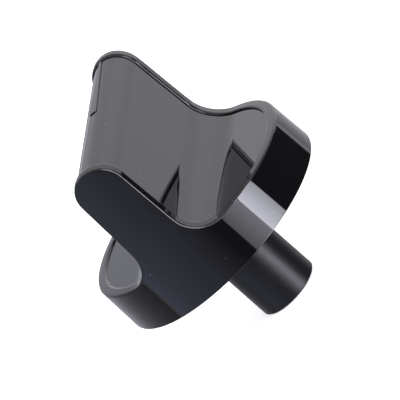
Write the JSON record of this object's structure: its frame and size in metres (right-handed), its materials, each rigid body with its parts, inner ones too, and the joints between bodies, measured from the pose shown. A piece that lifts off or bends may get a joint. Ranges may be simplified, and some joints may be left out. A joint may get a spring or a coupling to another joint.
{
  "type": "control knob",
  "caption": "Gloss black cooker control knob: round skirt, full-width grip bar with a raised border and pointer, on a long satin shank with a sprung D socket.",
  "frame": {"origin": "centre of the shank's open end, where the spindle goes in", "axes": "+Z along the spindle axis towards the grip, X along the grip bar with the pointer at +X"},
  "size_m": [0.05, 0.05, 0.0542],
  "materials": {
    "gloss_black": "polished moulded thermoset, deep black, mirror gloss",
    "satin_black": "fine satin moulded surface, as it leaves the tool",
    "spring_steel": "bright rolled spring-steel strip"
  },
  "bodies": {
    "root": {"knob_shell": "gloss_black", "shank_hub": "satin_black", "spindle_spring": "spring_steel"}
  },
  "joints": []
}
